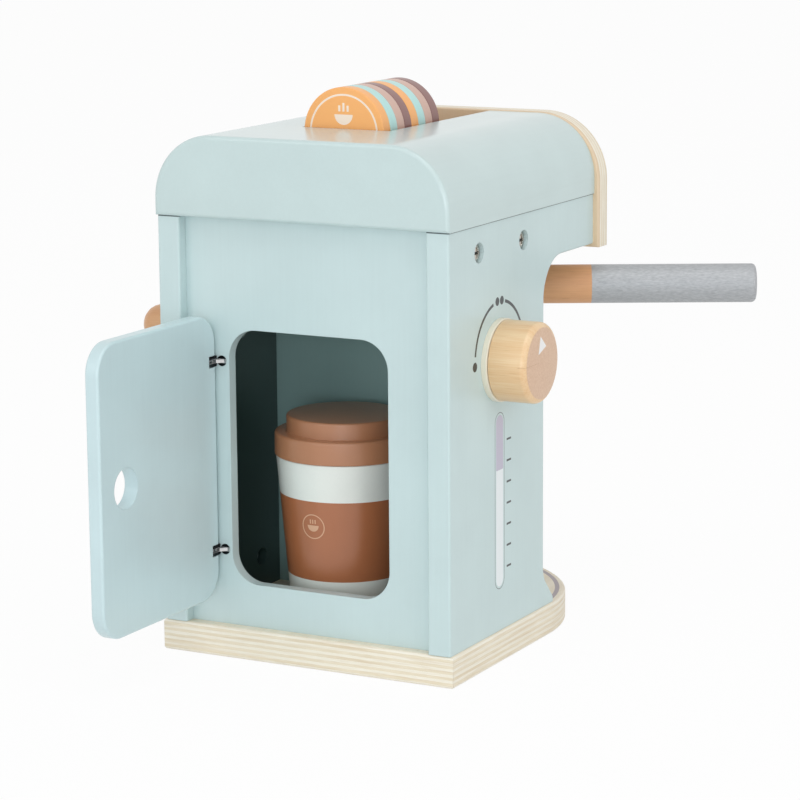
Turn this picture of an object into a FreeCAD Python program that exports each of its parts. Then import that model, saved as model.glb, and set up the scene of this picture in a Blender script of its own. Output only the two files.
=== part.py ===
import FreeCAD, Part
import os
import re
import Sketcher

# Wooden toy coffee maker, at its real size, in millimetres.
# +Z is up, the front faces -Y and the back, with its door, faces +Y.
# The origin is the middle of the base board's underside. Left and right are
# as seen from the front: the dial knob is on the left, at -X.

doc = FreeCAD.newDocument("toy_coffee_maker")
sheet = doc.addObject("Spreadsheet::Sheet", "sizes")

SIZES = {
    # Base board, with a half-round front
    "base_margin": 1.4,
    "base_length": 181.4,
    "base_thickness": 15.0,
    "base_edge_round": 1.6,
    "ring_inset": 5.0,
    "ring_line": 2.0,
    "ring_depth": 0.6,
    # Side panels, cut to a C with the head over the cup stand
    "case_width": 151.2,
    "side_thickness": 11.5,
    "head_top": 208.4,
    "head_underside": 183.7,
    "leg_depth": 99.2,
    "head_depth": 155.0,
    "head_fillet": 20.0,
    "foot_depth": 110.4,
    "foot_rise": 15.0,
    "toe_rise": 2.8,
    "foot_fillet": 12.0,
    "toe_fillet": 1.6,
    "panel_edge_round": 1.0,
    "socket_width": 9.0,
    "socket_depth": 6.0,
    "socket_from_back": 70.6,
    "socket_height": 30.7,
    # Thin boards between the side panels
    "thin_board": 5.7,
    "thin_recess": 5.7,
    "opening_margin": 22.4,
    "opening_height": 121.0,
    "opening_sill": 35.5,
    "opening_round": 14.0,
    # Top cover with its capsule slot
    "cover_side_overhang": 0.7,
    "cover_height": 38.0,
    "cover_overhang": 1.5,
    "cover_shoulder": 30.0,
    "cover_edge_round": 1.8,
    "slot_width": 46.4,
    "slot_centre": 3.0,
    "slot_from_back": 50.0,
    "slot_depth": 23.4,
    # Arched front panel
    "front_side_overhang": 2.7,
    "front_thickness": 11.3,
    "front_rise": 2.4,
    "front_drop": 1.7,
    "front_edge_round": 0.9,
    # Door
    "door_lap": 7.0,
    "door_thickness": 7.0,
    "door_round": 14.0,
    "door_edge_round": 1.2,
    "door_gap": 0.5,
    "door_open_angle": 90.5,
    "finger_hole": 19.0,
    "finger_hole_inset": 20.2,
    # Barrel hinges
    "hinge_distance": 90.0,
    "hinge_pivot_out": 0.2,
    "hinge_pivot_up": 0.8,
    "hinge_barrel": 5.0,
    "hinge_barrel_inset": 3.2,
    "hinge_barrel_depth": 4.2,
    "hinge_eye": 2.4,
    "hinge_tongue": 1.6,
    "hinge_pin_width": 1.4,
    "hinge_play": 0.1,
    "hinge_mortise_play": 0.2,
    # Knobs on the two sides
    "knob_from_back": 51.2,
    "knob_height": 143.6,
    "peg_height": 147.0,
    "knob_width": 37.6,
    "knob_thickness": 18.6,
    "knob_rim_round": 3.0,
    "washer_width": 38.8,
    "washer_thickness": 2.8,
    "peg_width": 19.2,
    "peg_length": 39.6,
    "peg_dome": 8.6,
    "knob_screw_width": 4.0,
    "knob_screw_bite": 12.0,
    "knob_screw_head": 8.0,
    "knob_screw_head_height": 2.4,
    "running_gap": 0.2,
    # Filter holder under the head
    "group_margin": 0.8,
    "group_height": 8.0,
    "holder_step": 3.0,
    "holder_height": 25.0,
    "handle_width": 19.0,
    "handle_reach": 160.4,
    "handle_socket": 9.0,
    "handle_height": 162.5,
    "handle_end_round": 2.2,
    "handle_angle": 62.6,
    "bolt_width": 6.0,
    "bolt_head": 12.0,
    "bolt_head_height": 3.0,
    "bolt_bite": 16.0,
    # Capsules standing in the slot
    "capsule_width": 42.4,
    "capsule_thickness": 7.0,
    "capsule_edge": 0.5,
    "capsule_gap": 0.1,
    "capsule_side_gap": 0.3,
    "capsule_end_gap": 1.0,
    "capsule_floor_gap": 0.2,
    # To-go cup and its lid
    "cup_x": 5.0,
    "cup_from_back": 50.0,
    "cup_height": 78.1,
    "cup_foot_width": 52.6,
    "cup_mouth_width": 66.0,
    "cup_wall": 4.0,
    "cup_floor": 6.0,
    "lid_rim_width": 67.2,
    "lid_rim_height": 11.1,
    "lid_top_width": 55.8,
    "lid_top_height": 7.9,
    "lid_plug_depth": 5.0,
    "lid_plug_play": 0.4,
    "lid_edge_round": 1.2,
    # Side screws in their pockets
    "screw_rise": 12.0,
    "screw_first": 30.3,
    "screw_distance": 46.5,
    "pocket_width": 9.4,
    "pocket_depth": 3.6,
    "screw_head": 8.4,
    "screw_head_height": 2.6,
    "screw_width": 4.0,
    "screw_bite": 20.0,
    # Screws up through the base board
    "base_screw_first": 18.0,
    "base_screw_distance": 62.0,
    "base_screw_bite": 18.0,
    "base_screw_sink": 1.0,
    # Glued dowels
    "dowel_width": 8.0,
    "cover_dowel_inset": 14.1,
    "cover_dowel_from_back": 53.5,
    "cover_dowel_from_front": 29.5,
    "cover_dowel_half": 14.0,
    "front_dowel_inset": 19.1,
    "front_dowel_in_panel": 7.0,
    "front_dowel_in_deck": 14.0,
    "hole_end_gap": 0.3,
    "fixed_play": 0.04,
    "turning_play": 0.08,
}

# Places worked out from the driving sizes
PLACES = {
    "base_width": "(case_width + 2 * base_margin)",
    "ring_radius": "(base_width / 2 - ring_inset)",
    "cover_width": "(case_width + 2 * cover_side_overhang)",
    "front_width": "(case_width + 2 * front_side_overhang)",
    "front_top": "(cover_top + front_rise)",
    "front_bottom": "(head_underside - front_drop)",
    "opening_width": "(2 * (inner_half - opening_margin))",
    "door_width": "(opening_width + 2 * door_lap)",
    "door_height": "(opening_height + 2 * door_lap)",
    "door_bottom": "(opening_sill - door_lap)",
    "back": "base_length / 2",
    "front_centre": "(base_width - base_length) / 2",
    "inner_half": "(case_width / 2 - side_thickness)",
    "back_panel_face": "(back - thin_recess)",
    "back_panel_rear": "(back_panel_face - thin_board)",
    "head_face": "(back - head_depth)",
    "cover_back": "(back + cover_overhang)",
    "cover_top": "(head_top + cover_height)",
    "slot_floor": "(cover_top - slot_depth)",
    "knob_y": "(back - knob_from_back)",
    "head_reach": "(head_depth - leg_depth)",
    "filter_y": "(head_face + head_reach / 2)",
    "group_width": "(head_reach - group_margin)",
    "holder_width": "(group_width - holder_step)",
    "handle_root": "(holder_width / 2 - handle_socket)",
    "holder_top": "(head_underside - group_height - running_gap)",
    "screw_z": "(head_underside + screw_rise)",
    "pivot_x": "(door_width / 2 + hinge_pivot_out)",
    "pivot_y": "(back_panel_face + door_gap + hinge_pivot_up)",
    "door_middle": "(door_bottom + door_height / 2)",
    "panel_line": "(hinge_pivot_up + door_gap)",
    "hinge_pin_hole": "(hinge_pin_width / 2 + fixed_play)",
    "cover_dowel_x": "(inner_half - cover_dowel_inset)",
    "cover_dowel_rear": "(back - cover_dowel_from_back)",
    "cover_dowel_front": "(head_face + cover_dowel_from_front)",
    "front_dowel_x": "(inner_half - front_dowel_inset)",
    "cup_y": "(back - cup_from_back)",
    "lid_seat": "(base_thickness + cup_height)",
}

WORD = re.compile(r"[a-z][a-z_]*[a-z]")


def fill_sheet():
    for row, (name, number) in enumerate(SIZES.items(), start=1):
        sheet.set("A%d" % row, str(number))
        sheet.setAlias("A%d" % row, name)
    doc.recompute()


def spelled_out(text):
    """The expression with places opened up and each size read from the sheet."""
    def word(match):
        name = match.group(0)
        if name in PLACES:
            return "(" + spelled_out(PLACES[name]) + ")"
        if name in SIZES:
            return "sizes." + name
        return name
    return WORD.sub(word, text)


def bind(thing, prop, text):
    thing.setExpression(prop, spelled_out(text))


def put(thing, x="0", y="0", z="0"):
    bind(thing, "Placement.Base.x", x)
    bind(thing, "Placement.Base.y", y)
    bind(thing, "Placement.Base.z", z)


def turn_about_z(thing, angle):
    thing.Placement = FreeCAD.Placement(FreeCAD.Vector(), FreeCAD.Rotation(FreeCAD.Vector(0, 0, 1), 1))
    bind(thing, "Placement.Rotation.Angle", angle)


def new_body(name):
    body = doc.addObject("PartDesign::Body", name)
    body.Label = name
    return body


def new_sketch(body, name, plane, offset="0"):
    """A sketch on one of the body's own origin planes, moved along its normal."""
    sketch = body.newObject("Sketcher::SketchObject", name)
    origin_plane = [f for f in body.Origin.OriginFeatures if f.Role == plane][0]
    sketch.AttachmentSupport = [(origin_plane, "")]
    sketch.MapMode = "FlatFace"
    bind(sketch, "AttachmentOffset.Base.z", offset)
    return sketch


ROUGH_RADIUS = 10.0


def draw_outline(sketch, points):
    """A closed outline whose corners are held by two distances each."""
    first = sketch.GeometryCount
    count = len(points)
    start = [FreeCAD.Vector(ROUGH_RADIUS, 0, 0)]
    for _ in points[1:]:
        start.append(FreeCAD.Rotation(FreeCAD.Vector(0, 0, 1), 360.0 / count).multVec(start[-1]))
    for i in range(count):
        sketch.addGeometry(Part.LineSegment(start[i], start[(i + 1) % count]))
    for i in range(count):
        after = first + (i + 1) % count
        sketch.addConstraint(Sketcher.Constraint("Coincident", first + i, 2, after, 1))
    for i, (across, up) in enumerate(points):
        for kind, text, value in (("DistanceX", across, start[i].x), ("DistanceY", up, start[i].y)):
            index = sketch.addConstraint(Sketcher.Constraint(kind, -1, 1, first + i, 1, value))
            bind(sketch, "Constraints[%d]" % index, text)


def draw_rectangle(sketch, low_x, low_y, high_x, high_y):
    draw_outline(sketch, [(low_x, low_y), (high_x, low_y), (high_x, high_y), (low_x, high_y)])


def draw_circle(sketch, x, y, radius):
    index = sketch.addGeometry(Part.Circle(FreeCAD.Vector(1, 1, 0), FreeCAD.Vector(0, 0, 1), 1.0))
    for kind, text in (("DistanceX", x), ("DistanceY", y)):
        held = sketch.addConstraint(Sketcher.Constraint(kind, -1, 1, index, 3, 1.0))
        bind(sketch, "Constraints[%d]" % held, text)
    held = sketch.addConstraint(Sketcher.Constraint("Radius", index, 1.0))
    bind(sketch, "Constraints[%d]" % held, radius)


def pad(body, sketch, length):
    feature = body.newObject("PartDesign::Pad", sketch.Name + "_pad")
    feature.Profile = sketch
    bind(feature, "Length", length)
    doc.recompute()
    return feature


def check_cut(body, before, name):
    if body.Shape.Volume > before - 1e-3:
        raise RuntimeError(name + " cut nothing")


def pocket(body, sketch, length, with_normal=False):
    """A pocket; with_normal cuts along the sketch's normal instead of against it."""
    before = body.Shape.Volume
    feature = body.newObject("PartDesign::Pocket", sketch.Name + "_pocket")
    feature.Profile = sketch
    feature.Reversed = with_normal
    bind(feature, "Length", length)
    doc.recompute()
    check_cut(body, before, feature.Name)
    return feature


def revolve(body, sketch, axis, cut=False, angle=360):
    before = body.Shape.Volume if cut else 0
    kind = "Groove" if cut else "Revolution"
    feature = body.newObject("PartDesign::" + kind, sketch.Name + "_" + kind.lower())
    feature.Profile = sketch
    feature.ReferenceAxis = (sketch, [axis])
    feature.Angle = angle
    doc.recompute()
    if cut:
        check_cut(body, before, feature.Name)
    return feature


def round_edges(body, name, radius, wanted):
    """Rounds the edges of the body's newest feature for which wanted(edge, box) holds."""
    base = body.Tip
    box = base.Shape.BoundBox
    names = []
    for index, edge in enumerate(base.Shape.Edges, start=1):
        if wanted(edge, box):
            names.append("Edge%d" % index)
    if not names:
        raise RuntimeError(name + " found no edge")
    feature = body.newObject("PartDesign::Fillet", name)
    feature.Base = (base, names)
    bind(feature, "Radius", radius)
    doc.recompute()
    return feature


NEAR = 1e-4


def same(one, other):
    return abs(one - other) < NEAR


def in_plane(edge, axis, value):
    """True where the whole edge lies at one value of x, y or z."""
    box = edge.BoundBox
    low, high = {"x": (box.XMin, box.XMax), "y": (box.YMin, box.YMax), "z": (box.ZMin, box.ZMax)}[axis]
    return same(low, value) and same(high, value)


def runs_along(edge, axis):
    box = edge.BoundBox
    spans = {"x": box.XLength, "y": box.YLength, "z": box.ZLength}
    return all(spans[other] < NEAR for other in spans if other != axis) and spans[axis] > NEAR


def number(text):
    """The present value of a driving size."""
    return float(sheet.get(text))


def cylinder(name, radius, height):
    thing = doc.addObject("Part::Cylinder", name)
    bind(thing, "Radius", radius)
    bind(thing, "Height", height)
    return thing


def aim(thing, direction):
    """Points the thing's own Z axis along one of the row's axes."""
    toward = {"+x": (1, 0, 0), "-x": (-1, 0, 0), "+y": (0, 1, 0), "-y": (0, -1, 0), "-z": (0, 0, -1)}
    rotation = FreeCAD.Rotation(FreeCAD.Vector(0, 0, 1), FreeCAD.Vector(*toward[direction]))
    thing.Placement = FreeCAD.Placement(FreeCAD.Vector(), rotation)


def group(name, members):
    """One node of several separate solids."""
    thing = doc.addObject("Part::Compound", name)
    thing.Label = name
    thing.Links = members
    return thing


# Base board

def make_base_board():
    body = new_body("base_board")
    outline = new_sketch(body, "base_square", "XY_Plane")
    draw_rectangle(outline, "-base_width / 2", "front_centre", "base_width / 2", "back")
    pad(body, outline, "base_thickness")
    nose = new_sketch(body, "base_nose", "XY_Plane")
    draw_circle(nose, "0", "front_centre", "base_width / 2")
    pad(body, nose, "base_thickness")

    def rim(edge, box):
        return in_plane(edge, "z", box.ZMin) or in_plane(edge, "z", box.ZMax)
    round_edges(body, "base_rim_round", "base_edge_round", rim)

    line = new_sketch(body, "ring_profile", "XZ_Plane", "-front_centre")
    draw_rectangle(line, "ring_radius", "base_thickness - ring_depth",
                   "ring_radius + ring_line", "base_thickness + 1")
    revolve(body, line, "V_Axis", cut=True, angle=180)

    holes = new_sketch(body, "base_screw_holes", "XY_Plane")
    for side in ("-", ""):
        for turn in ("0", "base_screw_distance"):
            draw_circle(holes, side + "(inner_half + side_thickness / 2)",
                        "back - base_screw_first - " + turn, "screw_width / 2 + fixed_play")
    pocket(body, holes, "base_thickness", with_normal=True)
    sinks = new_sketch(body, "base_screw_sinks", "XY_Plane")
    for side in ("-", ""):
        for turn in ("0", "base_screw_distance"):
            draw_circle(sinks, side + "(inner_half + side_thickness / 2)",
                        "back - base_screw_first - " + turn, "pocket_width / 2")
    pocket(body, sinks, "base_screw_sink + screw_head_height", with_normal=True)
    return body


# Side panels

def make_side_panel(name, sign):
    """The C-shaped board on one side; sign is - for the left one and empty for the right."""
    left = sign == "-"
    outer = "-case_width / 2" if left else "case_width / 2"
    lower_face = "-case_width / 2" if left else "inner_half"
    body = new_body(name)
    profile = new_sketch(body, name + "_profile", "YZ_Plane", lower_face)
    draw_outline(profile, [
        ("back", "base_thickness"),
        ("back", "head_top"),
        ("back - head_depth", "head_top"),
        ("back - head_depth", "head_underside"),
        ("back - leg_depth", "head_underside"),
        ("back - leg_depth", "base_thickness + foot_rise"),
        ("back - foot_depth", "base_thickness + toe_rise"),
        ("back - foot_depth", "base_thickness"),
    ])
    pad(body, profile, "side_thickness")
    leg_y = number("base_length") / 2 - number("leg_depth")
    toe_y = number("base_length") / 2 - number("foot_depth")
    under = number("head_underside")
    knee = number("base_thickness") + number("foot_rise")
    toe = number("base_thickness") + number("toe_rise")

    def at(edge, y, z):
        return runs_along(edge, "x") and in_plane(edge, "y", y) and in_plane(edge, "z", z)
    round_edges(body, name + "_head_curve", "head_fillet", lambda e, b: at(e, leg_y, under))
    round_edges(body, name + "_foot_curve", "foot_fillet", lambda e, b: at(e, leg_y, knee))
    round_edges(body, name + "_toe_curve", "toe_fillet", lambda e, b: at(e, toe_y, toe))

    def long_edge(edge, box):
        on_face = in_plane(edge, "x", box.XMin) or in_plane(edge, "x", box.XMax)
        flat = in_plane(edge, "z", box.ZMin) or in_plane(edge, "z", box.ZMax)
        return on_face and not flat and not in_plane(edge, "y", box.YMin)
    round_edges(body, name + "_edge_round", "panel_edge_round", long_edge)

    pockets = new_sketch(body, name + "_pockets", "YZ_Plane", outer)
    for turn in ("0", "screw_distance"):
        draw_circle(pockets, "back - screw_first - " + turn, "screw_z", "pocket_width / 2")
    pocket(body, pockets, "pocket_depth", with_normal=left)
    shanks = new_sketch(body, name + "_shank_holes", "YZ_Plane", outer)
    for turn in ("0", "screw_distance"):
        draw_circle(shanks, "back - screw_first - " + turn, "screw_z", "screw_width / 2 + fixed_play")
    draw_circle(shanks, "knob_y", "knob_height" if left else "peg_height",
                "knob_screw_width / 2 + turning_play")
    pocket(body, shanks, "side_thickness", with_normal=left)

    pilots = new_sketch(body, name + "_base_pilots", "XY_Plane", "base_thickness")
    for turn in ("0", "base_screw_distance"):
        draw_circle(pilots, sign + "(inner_half + side_thickness / 2)",
                    "back - base_screw_first - " + turn, "screw_width / 2 + fixed_play")
    pocket(body, pilots, "base_screw_bite + hole_end_gap", with_normal=True)
    if not left:
        socket = new_sketch(body, name + "_socket", "YZ_Plane", "inner_half")
        draw_circle(socket, "back - socket_from_back", "socket_height", "socket_width / 2")
        pocket(body, socket, "socket_depth", with_normal=True)
    return body


# Thin boards behind and in front of the cup space

def make_back_panel():
    body = new_body("back_panel")
    board = new_sketch(body, "back_board", "XZ_Plane", "-back_panel_face")
    draw_rectangle(board, "-inner_half", "base_thickness", "inner_half", "head_top")
    pad(body, board, "thin_board")
    opening = new_sketch(body, "back_opening", "XZ_Plane", "-back_panel_face")
    draw_rectangle(opening, "-opening_width / 2", "opening_sill",
                   "opening_width / 2", "opening_sill + opening_height")
    pocket(body, opening, "thin_board", with_normal=True)

    def corner(edge, box):
        inside = box.XMin + NEAR < edge.BoundBox.XMin and edge.BoundBox.XMax < box.XMax - NEAR
        return runs_along(edge, "y") and inside
    round_edges(body, "opening_corners", "opening_round", corner)

    seats = new_sketch(body, "hinge_seats", "XZ_Plane", "-back_panel_face")
    for side in (" - ", " + "):
        draw_circle(seats, "pivot_x - hinge_barrel_inset", "door_middle" + side + "hinge_distance / 2",
                    "hinge_barrel / 2 + fixed_play")
    pocket(body, seats, "thin_board", with_normal=True)
    return body


def make_front_wall():
    body = new_body("front_wall")
    board = new_sketch(body, "front_wall_board", "XZ_Plane", "leg_depth - thin_recess - thin_board - back")
    draw_rectangle(board, "-inner_half", "base_thickness", "inner_half", "head_underside")
    pad(body, board, "thin_board")
    return body


# Head deck between the side panels, which ends the cup space above

def make_head_deck():
    body = new_body("head_deck")
    block = new_sketch(body, "deck_block", "XY_Plane", "head_underside")
    draw_rectangle(block, "-inner_half", "head_face", "inner_half", "back_panel_rear")
    pad(body, block, "head_top - head_underside")
    for name, place in (("deck_left_pilots", "-inner_half"), ("deck_right_pilots", "inner_half")):
        pilots = new_sketch(body, name, "YZ_Plane", place)
        for turn in ("0", "screw_distance"):
            draw_circle(pilots, "back - screw_first - " + turn, "screw_z", "screw_width / 2 + fixed_play")
        pocket(body, pilots, "screw_bite + hole_end_gap", with_normal=name == "deck_left_pilots")
    bolt = new_sketch(body, "deck_bolt_hole", "XY_Plane", "head_underside")
    draw_circle(bolt, "0", "filter_y", "bolt_width / 2 + fixed_play")
    pocket(body, bolt, "bolt_bite + hole_end_gap", with_normal=True)
    top = new_sketch(body, "deck_dowel_holes", "XY_Plane", "head_top")
    for side in ("-", ""):
        for row in ("cover_dowel_rear", "cover_dowel_front"):
            draw_circle(top, side + "cover_dowel_x", row, "dowel_width / 2 + fixed_play")
    pocket(body, top, "cover_dowel_half + hole_end_gap")
    front = new_sketch(body, "deck_front_holes", "XZ_Plane", "-head_face")
    for side in ("-", ""):
        draw_circle(front, side + "front_dowel_x", "screw_z", "dowel_width / 2 + fixed_play")
    pocket(body, front, "front_dowel_in_deck + hole_end_gap")
    return body


# Top cover, a thick block with round shoulders and a slot for capsules

def make_top_cover():
    body = new_body("top_cover")
    block = new_sketch(body, "cover_block", "XZ_Plane", "-cover_back")
    draw_rectangle(block, "-cover_width / 2", "head_top", "cover_width / 2", "cover_top")
    pad(body, block, "head_depth + cover_overhang")

    def shoulder(edge, box):
        return runs_along(edge, "y") and in_plane(edge, "z", box.ZMax)
    round_edges(body, "cover_shoulders", "cover_shoulder", shoulder)
    round_edges(body, "cover_back_round", "cover_edge_round", lambda e, b: in_plane(e, "y", b.YMax))

    slot = new_sketch(body, "cover_slot", "XY_Plane", "cover_top")
    draw_rectangle(slot, "slot_centre - slot_width / 2", "head_face",
                   "slot_centre + slot_width / 2", "back - slot_from_back")
    pocket(body, slot, "slot_depth")
    dowels = new_sketch(body, "cover_dowel_holes", "XY_Plane", "head_top")
    for side in ("-", ""):
        for row in ("cover_dowel_rear", "cover_dowel_front"):
            draw_circle(dowels, side + "cover_dowel_x", row, "dowel_width / 2 + fixed_play")
    pocket(body, dowels, "cover_dowel_half + hole_end_gap", with_normal=True)
    return body


# Arched front panel, a little larger than the head it closes

def make_front_panel():
    body = new_body("front_panel")
    board = new_sketch(body, "front_board", "XZ_Plane", "-head_face")
    draw_rectangle(board, "-front_width / 2", "front_bottom", "front_width / 2", "front_top")
    pad(body, board, "front_thickness")

    def shoulder(edge, box):
        return runs_along(edge, "y") and in_plane(edge, "z", box.ZMax)
    round_edges(body, "front_shoulders", "cover_shoulder + front_rise", shoulder)
    round_edges(body, "front_edges", "front_edge_round",
                lambda e, b: in_plane(e, "y", b.YMin) or in_plane(e, "y", b.YMax))
    holes = new_sketch(body, "front_dowel_holes", "XZ_Plane", "-head_face")
    for side in ("-", ""):
        draw_circle(holes, side + "front_dowel_x", "screw_z", "dowel_width / 2 + fixed_play")
    pocket(body, holes, "front_dowel_in_panel + hole_end_gap", with_normal=True)
    return body


# Door, drawn shut with its pivot at the origin, then turned to the angle at which it stands

def place_on_door(thing, height):
    turn_about_z(thing, "360 - door_open_angle")
    put(thing, "pivot_x", "pivot_y", height)


def make_door():
    body = new_body("door")
    board = new_sketch(body, "door_board", "XZ_Plane", "hinge_pivot_up - door_thickness")
    draw_rectangle(board, "-hinge_pivot_out - door_width", "-door_height / 2",
                   "-hinge_pivot_out", "door_height / 2")
    pad(body, board, "door_thickness")

    def corner(edge, box):
        return runs_along(edge, "y")
    round_edges(body, "door_corners", "door_round", corner)
    round_edges(body, "door_edges", "door_edge_round",
                lambda e, b: in_plane(e, "y", b.YMin) or in_plane(e, "y", b.YMax))
    hole = new_sketch(body, "door_finger_hole", "XZ_Plane", "hinge_pivot_up")
    draw_circle(hole, "finger_hole_inset - hinge_pivot_out - door_width", "0", "finger_hole / 2")
    pocket(body, hole, "door_thickness")
    for name, side in (("lower_mortise", " - "), ("upper_mortise", "")):
        mortise = new_sketch(body, name, "XZ_Plane", "hinge_pivot_up")
        middle = side + "hinge_distance / 2"
        half = "(hinge_barrel / 2 + hinge_mortise_play)"
        draw_rectangle(mortise, "-hinge_barrel_inset - " + half, middle + " - " + half,
                       "1", middle + " + " + half)
        pocket(body, mortise, "hinge_barrel_depth + hinge_mortise_play")
    place_on_door(body, "door_middle")
    return body


# Barrel hinges: a barrel pressed into the panel, one in the door, and a pin

def make_hinge(level, side):
    height = "door_middle" + side + "hinge_distance / 2"
    tongue_half = "(hinge_tongue / 2)"
    slot_half = "(hinge_tongue / 2 + hinge_play)"

    panel_half = new_body(level + "_hinge_panel_half")
    barrel = new_sketch(panel_half, level + "_panel_barrel", "XZ_Plane", "panel_line")
    draw_circle(barrel, "-hinge_barrel_inset", "0", "hinge_barrel / 2")
    pad(panel_half, barrel, "thin_board")
    tongue = new_sketch(panel_half, level + "_tongue", "XY_Plane", "-" + tongue_half)
    draw_outline(tongue, [
        ("-hinge_barrel_inset - hinge_eye / 2", "-panel_line - 1"),
        ("-hinge_barrel_inset + hinge_eye / 2", "-panel_line - 1"),
        ("hinge_eye / 2", "0"),
        ("0", "hinge_eye / 2"),
        ("-hinge_barrel_inset / 2", "hinge_eye / 2"),
        ("-hinge_barrel_inset - hinge_eye / 2", "-panel_line"),
    ])
    pad(panel_half, tongue, "hinge_tongue")
    eye = new_sketch(panel_half, level + "_tongue_eye", "XY_Plane", "-" + tongue_half)
    draw_circle(eye, "0", "0", "hinge_eye / 2")
    pad(panel_half, eye, "hinge_tongue")
    bore = new_sketch(panel_half, level + "_tongue_bore", "XY_Plane", "-" + tongue_half)
    draw_circle(bore, "0", "0", "hinge_pin_hole")
    pocket(panel_half, bore, "hinge_tongue", with_normal=True)
    put(panel_half, "pivot_x", "pivot_y", height)

    door_half = new_body(level + "_hinge_door_half")
    barrel = new_sketch(door_half, level + "_door_barrel", "XZ_Plane", "hinge_pivot_up - hinge_barrel_depth")
    draw_circle(barrel, "-hinge_barrel_inset", "0", "hinge_barrel / 2")
    pad(door_half, barrel, "hinge_barrel_depth")
    fork = new_sketch(door_half, level + "_fork", "XY_Plane", "-hinge_barrel / 2 + hinge_play")
    draw_rectangle(fork, "-hinge_barrel_inset", "-hinge_pivot_up", "0", "hinge_eye / 2")
    pad(door_half, fork, "hinge_barrel - 2 * hinge_play")
    eye = new_sketch(door_half, level + "_fork_eye", "XY_Plane", "-hinge_barrel / 2 + hinge_play")
    draw_circle(eye, "0", "0", "hinge_eye / 2")
    pad(door_half, eye, "hinge_barrel - 2 * hinge_play")
    gap = new_sketch(door_half, level + "_fork_gap", "XY_Plane", "-" + slot_half)
    draw_rectangle(gap, "-hinge_barrel_inset - hinge_barrel", "-hinge_barrel",
                   "hinge_barrel", "hinge_eye / 2 + hinge_play")
    pocket(door_half, gap, "2 * " + slot_half, with_normal=True)
    bore = new_sketch(door_half, level + "_fork_bore", "XY_Plane", "-hinge_barrel")
    draw_circle(bore, "0", "0", "hinge_pin_width / 2 + turning_play")
    pocket(door_half, bore, "2 * hinge_barrel", with_normal=True)
    place_on_door(door_half, height)

    pin = cylinder(level + "_hinge_pin", "hinge_pin_width / 2", "hinge_barrel")
    pin.Label = level + "_hinge_pin"
    put(pin, "pivot_x", "pivot_y", height + " - hinge_barrel / 2")
    return [panel_half, door_half, pin]


# Knobs on the two sides, each turned on a lathe and held by a screw from inside

def make_dial_knob():
    body = new_body("dial_knob")
    profile = new_sketch(body, "dial_knob_profile", "XY_Plane")
    draw_rectangle(profile, "0", "0", "knob_thickness", "knob_width / 2")
    revolve(body, profile, "H_Axis")
    round_edges(body, "dial_knob_rim", "knob_rim_round", lambda e, b: in_plane(e, "x", b.XMax))
    bore = new_sketch(body, "dial_knob_bore", "YZ_Plane")
    draw_circle(bore, "0", "0", "knob_screw_width / 2 + fixed_play")
    pocket(body, bore, "knob_screw_bite + hole_end_gap", with_normal=True)
    turn_about_z(body, "180")
    put(body, "-case_width / 2 - washer_thickness - running_gap", "knob_y", "knob_height")
    return body


def make_dial_washer():
    body = new_body("dial_knob_washer")
    disc = new_sketch(body, "dial_washer_disc", "YZ_Plane")
    draw_circle(disc, "0", "0", "washer_width / 2")
    draw_circle(disc, "0", "0", "knob_screw_width / 2 + turning_play")
    pad(body, disc, "washer_thickness")
    put(body, "-case_width / 2 - washer_thickness", "knob_y", "knob_height")
    return body


def make_peg_knob():
    body = new_body("peg_knob")
    profile = new_sketch(body, "peg_profile", "XY_Plane")
    draw_rectangle(profile, "0", "0", "peg_length - running_gap", "peg_width / 2")
    revolve(body, profile, "H_Axis")
    round_edges(body, "peg_end_dome", "peg_dome", lambda e, b: in_plane(e, "x", b.XMax))
    bore = new_sketch(body, "peg_bore", "YZ_Plane")
    draw_circle(bore, "0", "0", "knob_screw_width / 2 + fixed_play")
    pocket(body, bore, "knob_screw_bite + hole_end_gap", with_normal=True)
    put(body, "case_width / 2 + running_gap", "knob_y", "peg_height")
    return body


def make_knob_screw(name, shank, turn):
    """A pan-head screw along +X from its head, lying half a turn about for the left side."""
    body = new_body(name)
    head = new_sketch(body, name + "_head", "YZ_Plane")
    draw_circle(head, "0", "0", "knob_screw_head / 2")
    pad(body, head, "knob_screw_head_height")
    round_edges(body, name + "_head_round", "knob_screw_head_height / 3", lambda e, b: in_plane(e, "x", b.XMin))
    rod = new_sketch(body, name + "_rod", "YZ_Plane")
    draw_circle(rod, "0", "0", "knob_screw_width / 2")
    pad(body, rod, "knob_screw_head_height + " + shank)
    turn_about_z(body, turn)
    return body


def make_knob_screws():
    left = make_knob_screw("dial_knob_screw",
                           "side_thickness + washer_thickness + knob_screw_bite + 2 * running_gap", "180")
    put(left, "running_gap + knob_screw_head_height - inner_half", "knob_y", "knob_height")
    right = make_knob_screw("peg_knob_screw", "side_thickness + knob_screw_bite + 2 * running_gap", "0")
    put(right, "inner_half - running_gap - knob_screw_head_height", "knob_y", "peg_height")
    return [left, right]


# Filter holder with its handle, on a bolt under the head

def place_on_filter(thing, height):
    turn_about_z(thing, "360 - handle_angle")
    put(thing, "0", "filter_y", height)


def make_group_head():
    body = new_body("group_head")
    disc = new_sketch(body, "group_disc", "XY_Plane")
    draw_circle(disc, "0", "0", "group_width / 2")
    draw_circle(disc, "0", "0", "bolt_width / 2 + fixed_play")
    pad(body, disc, "group_height")
    put(body, "0", "filter_y", "head_underside - group_height")
    return body


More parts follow.
